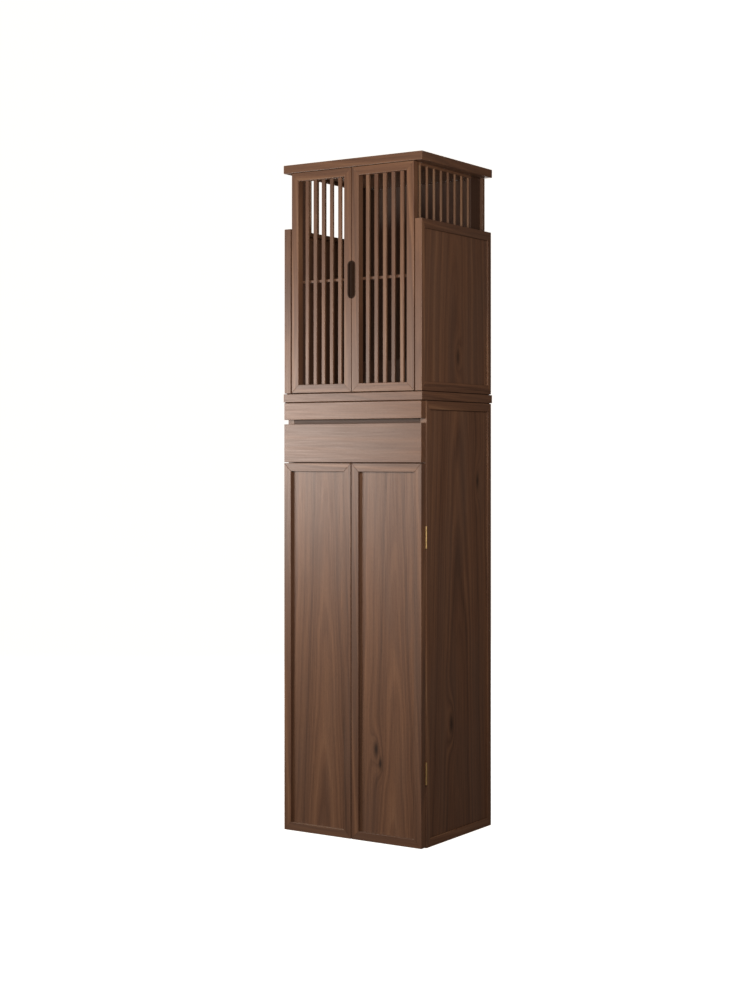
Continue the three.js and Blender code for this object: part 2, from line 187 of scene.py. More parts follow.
# The studio.
Light = namedtuple("Light", "name place target size power colour")
LAMPS = (
    Light("key_softbox", (-1.15, -1.35, 1.2), (0.0, -0.2, 1.15), (0.8, 0.6), 25, "fff6ee"),
    Light("corner_softbox", (1.1, -1.65, 1.6), (0.1, -0.1, 1.3), (0.5, 0.7), 27, "ffeede"),
    Light("rear_softbox", (-1.4, 3.2, 2.2), (0.0, 0.2, 1.1), (1.6, 1.8), 45, "fff6ee"),
)
SENSOR_WIDTH = 36.0
FLOOR_HALF_WIDTH = 9.0
FLOOR_FRONT = -9.0
FLOOR_BACK = 5.0
BACKDROP_HEIGHT = 7.0
BACKDROP_BEND = 2.0
BEND_STEPS = 16
PAPER_GLOW = 1.05
PAPER_ROUGHNESS = 0.9
PAPER_STRETCH = (6.0, 6.0, 6.0)
PAPER_MOTTLE = 0.985

# The materials made so far, by their maker functions.
FINISHES = {}


def linear(hex_colour):
    """An sRGB hex colour as linear red, green and blue."""
    channels = (int(hex_colour[i : i + 2], 16) / 255 for i in (0, 2, 4))
    return tuple(c / 12.92 if c <= 0.04045 else ((c + 0.055) / 1.055) ** 2.4 for c in channels)


def length_property(name, description, default):
    return bpy.props.FloatProperty(
        name=name, description=description, default=default, min=0, precision=5,
        unit="LENGTH", subtype="DISTANCE",
    )


def colour_property(name, description, hex_colour):
    return bpy.props.FloatVectorProperty(
        name=name, description=description, default=linear(hex_colour), size=3, min=0, max=1, subtype="COLOR"
    )


class ALTAR_PG_woodwork(bpy.types.PropertyGroup):
    """Sizes of the cabinet's rounded edges, slats and wood figure."""

    frame_easing: length_property("Frame easing", "Radius on the edges of the mitred frames", 0.7 * MM)
    board_easing: length_property("Board easing", "Radius on the edges of the boards and fronts", 1.0 * MM)
    slat_easing: length_property("Slat easing", "Radius on the long edges of the slats", 1.2 * MM)
    pull_easing: length_property("Pull easing", "Radius on the rim of the finger pull", 0.4 * MM)
    band_width: length_property("Band width", "Width of the broad light and dark bands", 32 * MM)
    ring_width: length_property("Ring width", "Distance between the year rings", 9 * MM)
    fibre_width: length_property("Fibre width", "Width of a fine streak, coarser than real", 1.9 * MM)
    pore_width: length_property("Pore width", "Width of a walnut pore, drawn coarser than real", 0.7 * MM)


class ALTAR_PG_hardware(bpy.types.PropertyGroup):
    """Sizes and colour of the brass hinges."""

    leaf_easing: length_property("Leaf easing", "Radius on the edges of the hinge leaves", 0.15 * MM)
    screw_radius: length_property("Screw head radius", "Radius of the countersunk screw heads", 2.6 * MM)
    screw_height: length_property("Screw head height", "Height of a screw head over its leaf", 0.1 * MM)
    brass: colour_property("Brass", "Colour of the brushed brass", "e3cb95")


class ALTAR_PG_walnut(bpy.types.PropertyGroup):
    """Colours of the oiled walnut."""

    vein: colour_property("Vein", "The darkest lines between the year rings", "38281e")
    heart: colour_property("Heartwood", "The wood's main brown", "614636")
    warm: colour_property("Warm streak", "The warm brown streaks", "775843")
    pale: colour_property("Pale streak", "The palest streaks near the sapwood", "8b6f57")
    grey: colour_property("Grey cast", "The grey purple cast of fresh walnut", "5e4d44")
    knot: colour_property("Knot", "The heart of a knot", "241914")
    # Painted shade: the wood inside the cabinet, the reveal boards and the boards in front of the rear posts
    # are darkened towards this colour, which stands in for shade.
    inside: colour_property("Inside", "The shaded wood inside the cabinet", "36241b")
    pull: colour_property("Pull", "The dark wood of the finger pull", "120b08")


class ALTAR_PG_studio(bpy.types.PropertyGroup):
    """The camera and the lights of the studio."""

    camera_place: bpy.props.FloatVectorProperty(
        name="Camera", description="Where the camera stands", default=(2.7893, -4.3438, 1.1067), size=3,
        unit="LENGTH", subtype="TRANSLATION",
    )
    camera_turn: bpy.props.FloatProperty(
        name="Turn", description="The camera's heading about the upright", default=math.radians(33.154),
        unit="ROTATION", subtype="ANGLE",
    )
    focal_length: bpy.props.FloatProperty(
        name="Focal length", description="The lens, in millimetres on a 36 mm sensor", default=62.51, min=1,
        unit="CAMERA",
    )
    vertical_shift: bpy.props.FloatProperty(
        name="Vertical shift", description="The lens's rise, as a share of the picture's height",
        default=-0.0451,
    )
    floor_colour: colour_property("Floor", "The pale floor and backdrop", "f4f3f1")
    sky_strength: bpy.props.FloatProperty(
        name="Room light", description="Strength of the light from all round", default=0.12, min=0
    )
    sky_colour: colour_property("Room light colour", "Colour of the light from all round", "ffd9c0")


def feed(node, inputs):
    """Fills a node's inputs. Each is a value, a socket to link from, or a list of sockets."""
    for key, value in inputs.items():
        for source in value if isinstance(value, list) else [value]:
            if isinstance(source, bpy.types.NodeSocket):
                node.id_data.links.new(source, node.inputs[key])
            else:
                node.inputs[key].default_value = source


def add_node(tree, kind, settings=None, inputs=None, output=0):
    """Adds one node with its settings and links, and gives one of its outputs."""
    node = tree.nodes.new(kind)
    for name, value in (settings or {}).items():
        setattr(node, name, value)
    feed(node, inputs or {})
    return node.outputs[output] if node.outputs else None


def opaque(colour):
    return (*colour, 1.0)


def start_material(name):
    material = bpy.data.materials.new(name)
    material.use_nodes = True
    return material, material.node_tree, material.node_tree.nodes["Principled BSDF"]


def clouds(tree, place, stretch, detail, roughness=0.5):
    """Soft noise from 0 to 1, with its own number of cells in a metre along each axis."""
    cells = add_node(tree, "ShaderNodeVectorMath", MULTIPLY, {0: place, 1: stretch})
    inputs = {"Vector": cells, "Scale": 1.0, "Detail": detail, "Roughness": roughness}
    return add_node(tree, "ShaderNodeTexNoise", None, inputs)


def set_stops(ramp, stops):
    """Gives a colour ramp the (place, colour) stops."""
    while len(ramp.elements) < len(stops):
        ramp.elements.new(1.0)
    for element, (place, colour) in zip(ramp.elements, stops):
        element.position = place
        element.color = opaque(colour)


def trunk_distance(tree, grain):
    """The distance from the middle of the trunk, which tapers and wanders slowly along the board."""
    section = add_node(tree, "ShaderNodeVectorMath", MULTIPLY, {0: grain, 1: CROSS_SECTION})
    radius = add_node(tree, "ShaderNodeVectorMath", LENGTH, {0: section}, "Value")
    along = add_node(tree, "ShaderNodeSeparateXYZ", None, {"Vector": grain}, "X")
    tapering = {0: along, 1: TRUNK_TAPER, 2: radius}
    tapered = add_node(tree, "ShaderNodeMath", MULTIPLY_ADD, tapering)
    wandering = {0: clouds(tree, grain, WANDER_STRETCH, FINE_DETAIL), 1: WANDER, 2: tapered}
    return add_node(tree, "ShaderNodeMath", MULTIPLY_ADD, wandering)


def knot_pull(tree, grain, knot):
    """How strongly a knot bends the rings, from 1 at its heart to 0 at its edge."""
    offset = add_node(tree, "ShaderNodeVectorMath", {"operation": "SUBTRACT"}, {0: grain, 1: knot.place})
    across = add_node(tree, "ShaderNodeVectorMath", MULTIPLY, {0: offset, 1: KNOT_STRETCH})
    distance = add_node(tree, "ShaderNodeVectorMath", LENGTH, {0: across}, "Value")
    result = distance
    for operation, value in (("DIVIDE", knot.size), ("POWER", 2.0), ("MULTIPLY", -1.0), ("EXPONENT", 0.0)):
        result = add_node(tree, "ShaderNodeMath", {"operation": operation}, {0: result, 1: value})
    return result


def bend_round_knots(tree, grain, distance, knots):
    """The distance with the rings bent out round each knot, and how dark the knots' hearts are."""
    dark = 0.0
    for knot in knots:
        pull = knot_pull(tree, grain, knot)
        bending = {0: pull, 1: knot.size * KNOT_BEND, 2: distance}
        distance = add_node(tree, "ShaderNodeMath", MULTIPLY_ADD, bending)
        for operation, value in (("POWER", KNOT_HEART_POWER), ("MULTIPLY", knot.darkness), ("MAXIMUM", dark)):
            pull = add_node(tree, "ShaderNodeMath", {"operation": operation}, {0: pull, 1: value})
        dark = pull
    return distance, dark


def walnut_figure(tree, distance, fibres, contrast, lift):
    """The wood's brown, which runs from the dark veins, at 0, to the pale streaks, at 1."""
    wood = bpy.context.scene.altar_woodwork
    tone = add_node(tree, "ShaderNodeAttribute", {"attribute_name": "tone"}, None, "Fac")
    lines = []
    for width, detail in ((wood.band_width, COARSE_DETAIL), (wood.ring_width, FINE_DETAIL)):
        inputs = {"W": distance, "Scale": 1 / width, "Detail": detail}
        lines.append(add_node(tree, "ShaderNodeTexNoise", {"noise_dimensions": "1D"}, inputs))
    shares = (BAND_SHARE * contrast, RING_SHARE * contrast, FIBRE_SHARE * contrast, TONE_SHARE)
    layers = list(zip((*lines, fibres, tone), shares))
    # A lift moves the figure towards the pale streaks: on the side screens' slats it is a painted highlight.
    figure = 0.5 + lift - 0.5 * sum(shares)
    for layer, share in layers:
        inputs = {0: layer, 1: share, 2: figure}
        figure = add_node(tree, "ShaderNodeMath", MULTIPLY_ADD, inputs)
    brown = add_node(tree, "ShaderNodeValToRGB", None, {"Fac": figure})
    colours = bpy.context.scene.altar_walnut
    stops = [(place, getattr(colours, name)) for name, place in COLOUR_PLACES.items()]
    set_stops(brown.node.color_ramp, stops)
    return brown


def walnut(name, roughness, knots=(), shade=None, contrast=1.0, lift=0.0):
    """Black walnut, planed, sanded and oiled: year rings, bands, fine fibres, pores and a satin sheen."""
    wood = bpy.context.scene.altar_woodwork
    colours = bpy.context.scene.altar_walnut
    material, tree, shader = start_material(name)
    grain = add_node(tree, "ShaderNodeAttribute", {"attribute_name": "grain"}, None, "Vector")
    distance, dark = bend_round_knots(tree, grain, trunk_distance(tree, grain), knots)
    fibre_stretch = (1 / (FIBRE_LENGTH_RATIO * wood.fibre_width), 1 / wood.fibre_width, 1 / wood.fibre_width)
    fibres = clouds(tree, grain, fibre_stretch, FINE_DETAIL, FIBRE_ROUGHNESS)
    pore_stretch = (1 / (PORE_LENGTH_RATIO * wood.pore_width), 1 / wood.pore_width, 1 / wood.pore_width)
    pores = clouds(tree, grain, pore_stretch, COARSE_DETAIL)
    cast = clouds(tree, grain, CAST_STRETCH, COARSE_DETAIL)

    grey_share = add_node(tree, "ShaderNodeMapRange", None, {"Value": cast, **GREY_SPAN})
    pore_shade = add_node(tree, "ShaderNodeMapRange", None, {"Value": pores, **PORE_SPAN})
    layers = [(grey_share, opaque(colours.grey), "MIX"), (1.0, pore_shade, "MULTIPLY")]
    if knots:
        layers.append((dark, opaque(colours.knot), "MIX"))
    # The cover is the finger pull's dark stain, and painted shade for the wood inside the cabinet.
    if shade is not None:
        layers.append((SHADE_SHARE, opaque(shade), "MIX"))
    colour = walnut_figure(tree, distance, fibres, contrast, lift)
    for share, cover, blend in layers:
        settings = {**COLOURS, "blend_type": blend}
        inputs = {"Factor": share, COLOUR_A: colour, COLOUR_B: cover}
        colour = add_node(tree, "ShaderNodeMix", settings, inputs, MIXED_COLOUR)

    ends = {"To Min": roughness + DRY_ROUGHNESS, "To Max": roughness + OILED_ROUGHNESS}
    sheen = add_node(tree, "ShaderNodeMapRange", None, {"Value": fibres, **NOISE_SPAN, **ends})
    relief = add_node(tree, "ShaderNodeMath", MULTIPLY_ADD, {0: pore_shade, 1: PORE_RELIEF, 2: fibres})
    bump = add_node(tree, "ShaderNodeBump", None, {"Height": relief, **WOOD_BUMP})
    feed(shader, {"Base Color": colour, "Roughness": sheen, "Normal": bump, "IOR": WALNUT_IOR})
    return material


def walnut_front(name="oiled_walnut_front", knots=()):
    """The base doors and the shrine doors, oiled and rubbed to a soft sheen."""
    return walnut(name, 0.43, knots)


def walnut_drawer():
    """The fronts of the drawer and the tray, cut from quieter wood than the doors."""
    return walnut("oiled_walnut_drawer", 0.41, contrast=0.5)


def walnut_side(name="oiled_walnut_side", knots=()):
    """The side walls and the shoulders, handled less and so a little duller than the fronts."""
    return walnut(name, 0.45, knots)


def walnut_slat_painted_highlight():
    """The side screens' slats, sanded finer than the frames, with a painted highlight: their colour is lifted
    towards the pale streaks so that they read as light lines.
    """
    return walnut("oiled_walnut_slat", 0.38, contrast=0.5, lift=0.3)


def walnut_board():
    """The middle board and the cornice, planed once more and so a little glossier."""
    return walnut("oiled_walnut_board", 0.42)


def walnut_inside_painted_shade():
    """Walnut veneer left matt, inside the cabinet, with painted shade: its colour is mostly covered by the
    dark inside colour, which stands in for the shade inside the cabinet.
    """
    return walnut("matt_walnut_painted_shade", 0.58, shade=bpy.context.scene.altar_walnut.inside)


def stained_pull():
    """Walnut stained nearly black and left dry, so that the cup of the finger pull reads as a dark shape."""
    material = walnut("stained_walnut_pull", 0.65, shade=bpy.context.scene.altar_walnut.pull, contrast=0.3)
    feed(material.node_tree.nodes["Principled BSDF"], {"Specular IOR Level": PULL_SPECULAR})
    return material


def brushed_brass():
    """Yellow brass, brushed along its length and lacquered: soft long highlights with fine lines."""
    material, tree, shader = start_material("brushed_brass")
    place = add_node(tree, "ShaderNodeTexCoord", output="Object")
    lines = clouds(tree, place, BRUSH_STRETCH, COARSE_DETAIL)
    patina = clouds(tree, place, PATINA_STRETCH, FINE_DETAIL)
    brass = bpy.context.scene.altar_hardware.brass
    dull = tuple(PATINA_SHADE * channel for channel in brass)
    dulling = add_node(tree, "ShaderNodeMapRange", None, {"Value": patina, **PATINA_SPAN})
    inputs = {"Factor": dulling, COLOUR_A: opaque(brass), COLOUR_B: opaque(dull)}
    colour = add_node(tree, "ShaderNodeMix", COLOURS, inputs, MIXED_COLOUR)
    sheen = add_node(tree, "ShaderNodeMapRange", None, {"Value": lines, **NOISE_SPAN, **BRASS_ROUGHNESS})
    bump = add_node(tree, "ShaderNodeBump", None, {"Height": lines, **BRUSH_BUMP})
    feed(shader, {"Base Color": colour, "Roughness": sheen, "Normal": bump, "Metallic": 1.0})
    return material


def blackened_steel():
    """Blackened steel of the pivot pins: dark and dull, worn a little brighter in patches."""
    material, tree, shader = start_material("blackened_steel")
    place = add_node(tree, "ShaderNodeTexCoord", output="Object")
    wear = clouds(tree, place, WEAR_STRETCH, FINE_DETAIL)
    colour = add_node(tree, "ShaderNodeValToRGB", None, {"Fac": wear})
    set_stops(colour.node.color_ramp, [(step, linear(hex_colour)) for step, hex_colour in WEAR_COLOURS])
    sheen = add_node(tree, "ShaderNodeMapRange", None, {"Value": wear, **NOISE_SPAN, **STEEL_ROUGHNESS})
    feed(shader, {"Base Color": colour, "Roughness": sheen, "Metallic": 1.0})
    return material


def knotted_walnut(node, figure, maker):
    """The walnut of one panel, with its knots at their places in the panel's own grain."""
    knots = [knot._replace(place=grain_at(figure, knot.place)) for knot in KNOTS[node]]
    return maker(f"knotted_{node}", knots)


def finish(maker):
    """The material that a maker function makes, made once."""
    if maker not in FINISHES:
        FINISHES[maker] = maker()
    return FINISHES[maker]


def figure_of(name, along, depth, low, high, sawing):
    """A board's figure, the same on every run because it is drawn from the board's own name."""
    chance = random.Random(name)
    across = 3 - along - depth
    centre = tuple((low[axis] + high[axis]) / 2 for axis in range(3))
    shift = (
        chance.uniform(0, TRUNK_LENGTH),
        chance.uniform(sawing.across_low, sawing.across_high),
        chance.uniform(sawing.depth_low, sawing.depth_high),
    )
    return Figure(along, across, depth, centre, shift, chance.random())


def grain_at(figure, point):
    axes = (figure.along, figure.across, figure.depth)
    return tuple(point[axis] - figure.centre[axis] + offset for axis, offset in zip(axes, figure.shift))


def merged_copy(node):
    """A CAD node's loose triangles as one closed surface with whole flat faces."""
    surface = bmesh.new()
    surface.from_mesh(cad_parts[node].data)
    bmesh.ops.remove_doubles(surface, verts=surface.verts[:], dist=MERGE_DISTANCE)
    dissolve_flat(surface)
    return surface


def dissolve_flat(surface):
    bmesh.ops.dissolve_limit(
        surface, angle_limit=COPLANAR_ANGLE, verts=surface.verts[:], edges=surface.edges[:]
    )


def close_rims(surface):
    rims = [edge for edge in surface.edges if edge.is_boundary]
    if rims:
        bmesh.ops.holes_fill(surface, edges=rims, sides=0)


def block_surface(low, high):
    surface = bmesh.new()
    bmesh.ops.create_cube(surface, size=1)
    for vertex in surface.verts:
        vertex.co = [low[axis] + (vertex.co[axis] + 0.5) * (high[axis] - low[axis]) for axis in range(3)]
    return surface


def rod_surface(radius, x, y, low, high):
    surface = bmesh.new()
    bmesh.ops.create_cone(
        surface, cap_ends=True, segments=ROUND_SIDES, radius1=radius, radius2=radius, depth=high - low
    )
    bmesh.ops.translate(surface, verts=surface.verts[:], vec=(x, y, (low + high) / 2))
    return surface


def cut_away(surface, point, normal, inside):
    """Cuts a surface by a plane, keeps the side that the inside point is on, and closes the cut."""
    normal = Vector(normal)
    if (Vector(inside) - Vector(point)).dot(normal) > 0:
        normal = -normal
    geometry = surface.verts[:] + surface.edges[:] + surface.faces[:]
    bmesh.ops.bisect_plane(
        surface, geom=geometry, dist=CUT_DISTANCE, plane_co=point, plane_no=normal, clear_outer=True
    )
    close_rims(surface)


def ease_edges(surface, radius):
    """Rounds the outward sharp edges, apart from the short ones of small round holes."""
    bmesh.ops.recalc_face_normals(surface, faces=surface.faces[:])
    sharp = [
        edge
        for edge in surface.edges
        if edge.is_manifold
        and edge.calc_length() > SHORT_EDGE
        and edge.calc_face_angle_signed() > SHARP_ANGLE
    ]
    bmesh.ops.bevel(
        surface, geom=sharp, offset=radius, offset_type="OFFSET", segments=EASING_SEGMENTS, profile=0.5,
        affect="EDGES", clamp_overlap=True,
    )


def link_piece(name, mesh, body, nodes):
    piece = bpy.data.objects.new(name, mesh)
    bpy.context.scene.collection.objects.link(piece)
    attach(piece, body)
    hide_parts(*nodes)
    return piece


def make_piece(name, boards, body, nodes, smooth=False):
    """Joins boards into one piece. Each vertex keeps its place in its own board's grain."""
    points, faces, places, tones, finishes = [], [], [], [], []
    materials = []
    for board in boards:
        if board.finish not in materials:
            materials.append(board.finish)
        first = len(points)
        board.surface.verts.index_update()
        for vertex in board.surface.verts:
            points.append(tuple(vertex.co))
            places.extend(grain_at(board.figure, vertex.co))
            tones.append(board.figure.tone)
        for face in board.surface.faces:
            faces.append([first + vertex.index for vertex in face.verts])
            finishes.append(materials.index(board.finish))
        board.surface.free()
    mesh = bpy.data.meshes.new(name)
    mesh.from_pydata(points, [], faces)
    mesh.attributes.new("grain", "FLOAT_VECTOR", "POINT").data.foreach_set("vector", places)
    mesh.attributes.new("tone", "FLOAT", "POINT").data.foreach_set("value", tones)
    for material in materials:
        mesh.materials.append(material)
    mesh.polygons.foreach_set("material_index", finishes)
    if smooth:
        mesh.shade_smooth()
        mesh.set_sharp_from_angle(angle=SMOOTH_ANGLE)
    mesh.update()
    return link_piece(name, mesh, body, nodes)


def cad_board(node, along, depth, sawing, maker, easing):
    """One CAD node as a board with eased edges."""
    low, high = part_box(node)
    surface = merged_copy(node)
    ease_edges(surface, easing)
    figure = figure_of(node, along, depth, low, high, sawing)
    material = knotted_walnut(node, figure, maker) if node in KNOTS else finish(maker)
    return Board(surface, figure, material)


def plain_piece(node, body, along, depth, sawing, maker, easing):
    """A piece that is one board."""
    board = cad_board(node, along, depth, sawing, maker, easing)
    return make_piece(f"{node}_wood", [board], body, [node])


def inside_board(node, body, along, depth, sawing=PLAIN):
    """A piece that is one board of the matt walnut inside the cabinet, darkened with painted shade."""
    easing = bpy.context.scene.altar_woodwork.board_easing
    plain_piece(node, body, along, depth, sawing, walnut_inside_painted_shade, easing)


def banded_board(node, easing):
    """A board along X whose two ends are covered by thin bands with their grain from front to back."""
    low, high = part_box(node)
    board = cad_board(node, X, Y, RIFT, walnut_board, easing)
    boards = []
    for end, step in ((low, END_BAND), (high, -END_BAND)):
        cut = (end[X] + step, 0, 0)
        band = board.surface.copy()
        cut_away(band, cut, (1, 0, 0), (end[X], 0, 0))
        cut_away(board.surface, cut, (1, 0, 0), (0, 0, 0))
        role = "low" if end is low else "high"
        boards.append(Board(band, figure_of(f"{node} {role} band", Y, X, low, high, STRAIGHT), board.finish))
    return [board, *boards]


def frame_members(name, surface, low, high, through, stile, rail, material, easing):
    """The four members of a mitred frame, cut from one frame surface at its mitres."""
    level = 3 - Z - through
    middle = (low + high) / 2
    members = []
    for end in (low, high):
        inner = end[level] + (stile if end is low else -stile)
        inside = middle.copy()
        inside[level] = (end[level] + inner) / 2
        cuts = [mitre(low, high, through, level, end, corner, stile, rail) for corner in (low, high)]
        upright = Vector((0, 0, 0))
        upright[level] = 1
        cuts.append((middle, upright))
        members.append((Z, inside, cuts, "stile_low" if end is low else "stile_high"))
    for end in (low, high):
        inside = middle.copy()
        inside[Z] = end[Z] + (rail / 2 if end is low else -rail / 2)
        cuts = [mitre(low, high, through, level, corner, end, stile, rail) for corner in (low, high)]
        members.append((level, inside, cuts, "rail_low" if end is low else "rail_high"))
    boards = []
    for along, inside, cuts, role in members:
        part = surface.copy()
        for point, normal in cuts:
            cut_away(part, point, normal, inside)
        dissolve_flat(part)
        ease_edges(part, easing)
        part_low = Vector([min(v.co[axis] for v in part.verts) for axis in range(3)])
        part_high = Vector([max(v.co[axis] for v in part.verts) for axis in range(3)])
        figure = figure_of(f"{name} {role}", along, through, part_low, part_high, STRAIGHT)
        boards.append(Board(part, figure, material))
    surface.free()
    return boards


def mitre(low, high, through, level, level_end, z_end, stile, rail):
    """The plane of one mitre: it passes through the frame's outer and inner corner."""
    corner = Vector((0, 0, 0))
    corner[level] = level_end[level]
    corner[Z] = z_end[Z]
    corner[through] = (low[through] + high[through]) / 2
    run = Vector((0, 0, 0))
    run[level] = stile if level_end is low else -stile
    run[Z] = rail if z_end is low else -rail
    across = Vector((0, 0, 0))
    across[through] = 1
    return corner, run.cross(across).normalized()


def framed_piece(node, body, through, stile, rail, maker, easing):
    low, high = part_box(node)
    boards = frame_members(node, merged_copy(node), low, high, through, stile, rail, finish(maker), easing)
    return make_piece(f"{node}_wood", boards, body, [node])


def start_tree(name, sockets):
    """A Geometry Nodes tree with the given inputs and one geometry output."""
    tree = bpy.data.node_groups.new(name, "GeometryNodeTree")
    tree.interface.new_socket(name="Geometry", in_out="OUTPUT", socket_type="NodeSocketGeometry")
    for label, kind in sockets.items():
        tree.interface.new_socket(name=label, in_out="INPUT", socket_type=f"NodeSocket{kind}")
    return tree, tree.nodes.new("NodeGroupInput").outputs


def end_tree(tree, geometry, material):
    dressed = add_node(tree, "GeometryNodeSetMaterial", None, {"Geometry": geometry, "Material": material})
    add_node(tree, "NodeGroupOutput", None, {"Geometry": dressed})
    return tree


def slat_rack_tree():
    """Upright slats with rounded long edges, one after another at an even pitch."""
    tree, given = start_tree("slat_rack", {
        "Count": "Int", "First slat": "Vector", "Pitch": "Vector", "Size X": "Float", "Size Y": "Float",
        "Height": "Float", "Edge radius": "Float", "Seed": "Int", "Finish": "Material",
    })
    size = {"Width": given["Size X"], "Height": given["Size Y"]}
    outline = add_node(tree, "GeometryNodeCurvePrimitiveQuadrilateral", None, size)
    rounding = {"Curve": outline, "Radius": given["Edge radius"], "Count": SLAT_EDGE_STEPS}
    rounded = add_node(tree, "GeometryNodeFilletCurve", {"mode": "POLY"}, rounding)
    section = add_node(tree, "GeometryNodeFillCurve", {"mode": "NGONS"}, {"Curve": rounded})
    rise = {"Mesh": section, "Offset": (0.0, 0.0, 1.0), "Offset Scale": given["Height"], "Individual": False}
    raised = add_node(tree, "GeometryNodeExtrudeMesh", {"mode": "FACES"}, rise)
    foot = add_node(tree, "GeometryNodeFlipFaces", None, {"Mesh": section})
    joined = add_node(tree, "GeometryNodeJoinGeometry", None, {"Geometry": [raised, foot]})
    merging = {"Geometry": joined, "Distance": MERGE_DISTANCE}
    slat = add_node(tree, "GeometryNodeMergeByDistance", None, merging)
    row = {"Count": given["Count"], "Start Location": given["First slat"], "Offset": given["Pitch"]}
    places = add_node(tree, "GeometryNodeMeshLine", {"mode": "OFFSET"}, row)
    rack = add_node(tree, "GeometryNodeInstanceOnPoints", None, {"Points": places, "Instance": slat})
    shifts = {
        0: (0.0, STRAIGHT.across_low, STRAIGHT.depth_low),
        1: (TRUNK_LENGTH, STRAIGHT.across_high, STRAIGHT.depth_high),
        "Seed": given["Seed"],
    }
    shift = add_node(tree, "FunctionNodeRandomValue", VECTORS, shifts)
    tone = add_node(tree, "FunctionNodeRandomValue", {"data_type": "FLOAT"}, {"Seed": given["Seed"]}, 1)
    for name, kind, value in (("grain", "FLOAT_VECTOR", shift), ("tone", "FLOAT", tone)):
        settings = {"data_type": kind, "domain": "INSTANCE"}
        inputs = {"Geometry": rack, "Name": name, "Value": value}
        rack = add_node(tree, "GeometryNodeStoreNamedAttribute", settings, inputs)
    real = add_node(tree, "GeometryNodeRealizeInstances", None, {"Geometry": rack})

    # Each point's own place is added to its slat's place in the trunk, turned so that the grain runs upward.
    position = add_node(tree, "GeometryNodeInputPosition")
    place = add_node(tree, "ShaderNodeSeparateXYZ", None, {"Vector": position}).node.outputs
    turning = {"X": place["Z"], "Y": place["X"], "Z": place["Y"]}
    turned = add_node(tree, "ShaderNodeCombineXYZ", None, turning)
    stored = add_node(tree, "GeometryNodeInputNamedAttribute", VECTORS, {"Name": "grain"})
    grain = add_node(tree, "ShaderNodeVectorMath", {"operation": "ADD"}, {0: turned, 1: stored})
    settings = {**VECTORS, "domain": "POINT"}
    inputs = {"Geometry": real, "Name": "grain", "Value": grain}
    grained = add_node(tree, "GeometryNodeStoreNamedAttribute", settings, inputs)
    return end_tree(tree, grained, given["Finish"])


def screw_row_tree():
    """Cross-headed countersunk screw heads in a staggered row."""
    tree, given = start_tree("screw_row", {
        "Count": "Int", "First screw": "Vector", "Pitch": "Vector", "Stagger": "Vector",
        "Head radius": "Float", "Head height": "Float", "Slot width": "Float", "Finish": "Material",
    })
    disc = {"Vertices": SCREW_SIDES, "Radius": given["Head radius"], "Depth": given["Head height"]}
    head = add_node(tree, "GeometryNodeMeshCylinder", {"fill_type": "NGON"}, disc)
    slot_size = {0: given["Head radius"], 1: SCREW_SLOT_REACH}
    slot_length = add_node(tree, "ShaderNodeMath", MULTIPLY, slot_size)
    half_height = add_node(tree, "ShaderNodeMath", MULTIPLY, {0: given["Head height"], 1: 0.5})
    lift = add_node(tree, "ShaderNodeCombineXYZ", None, {"Z": half_height})
    cutters = []
    for long_axis, short_axis in ("XY", "YX"):
        sides = {long_axis: slot_length, short_axis: given["Slot width"], "Z": given["Head height"]}
        size = add_node(tree, "ShaderNodeCombineXYZ", None, sides)
        cube = add_node(tree, "GeometryNodeMeshCube", None, {"Size": size})
        cutters.append(add_node(tree, "GeometryNodeTransform", None, {"Geometry": cube, "Translation": lift}))
    cutting = {"operation": "DIFFERENCE", "solver": "EXACT"}
    cut = add_node(tree, "GeometryNodeMeshBoolean", cutting, {"Mesh 1": head, "Mesh 2": cutters})
    index = add_node(tree, "GeometryNodeInputIndex")
    odd = add_node(tree, "ShaderNodeMath", {"operation": "MODULO"}, {0: index, 1: 2.0})
    row = {"Count": given["Count"], "Start Location": given["First screw"], "Offset": given["Pitch"]}
    places = add_node(tree, "GeometryNodeMeshLine", {"mode": "OFFSET"}, row)
    shift = {0: given["Stagger"], "Scale": odd}
    sideways = add_node(tree, "ShaderNodeVectorMath", {"operation": "SCALE"}, shift)
    staggered = add_node(tree, "GeometryNodeSetPosition", None, {"Geometry": places, "Offset": sideways})
    laid = {"Points": staggered, "Instance": cut, "Rotation": (math.pi / 2, 0.0, 0.0)}
    turned = add_node(tree, "GeometryNodeInstanceOnPoints", None, laid)
    real = add_node(tree, "GeometryNodeRealizeInstances", None, {"Geometry": turned})
    return end_tree(tree, real, given["Finish"])


def grown_mesh(name, tree, values):
    """The plain mesh that a Geometry Nodes tree makes with the given values."""
    holder = bpy.data.objects.new(f"{name}_holder", bpy.data.meshes.new(f"{name}_empty"))
    bpy.context.scene.collection.objects.link(holder)
    modifier = holder.modifiers.new(tree.name, "NODES")
    modifier.node_group = tree
    identifiers = {item.name: item.identifier for item in tree.interface.items_tree if item.in_out == "INPUT"}
    for key, value in values.items():
        modifier[identifiers[key]] = value
    bpy.context.view_layer.update()
    evaluated = holder.evaluated_get(bpy.context.evaluated_depsgraph_get())
    mesh = bpy.data.meshes.new_from_object(evaluated)
    mesh.name = name
    holder.modifiers.remove(modifier)
    bpy.data.objects.remove(holder)
    return mesh


def named_tree(name, maker):
    return bpy.data.node_groups.get(name) or maker()


def aim(obj, target):
    obj.rotation_euler = (Vector(target) - obj.location).to_track_quat("-Z", "Y").to_euler()


def add_lamp(light):
    data = bpy.data.lights.new(light.name, "AREA")
    data.shape = "RECTANGLE"
    data.size, data.size_y = light.size
    data.energy = light.power
    data.color = linear(light.colour)
    lamp = bpy.data.objects.new(light.name, data)
    bpy.context.scene.collection.objects.link(lamp)
    lamp.location = light.place
    lamp.visible_camera = False
    aim(lamp, light.target)


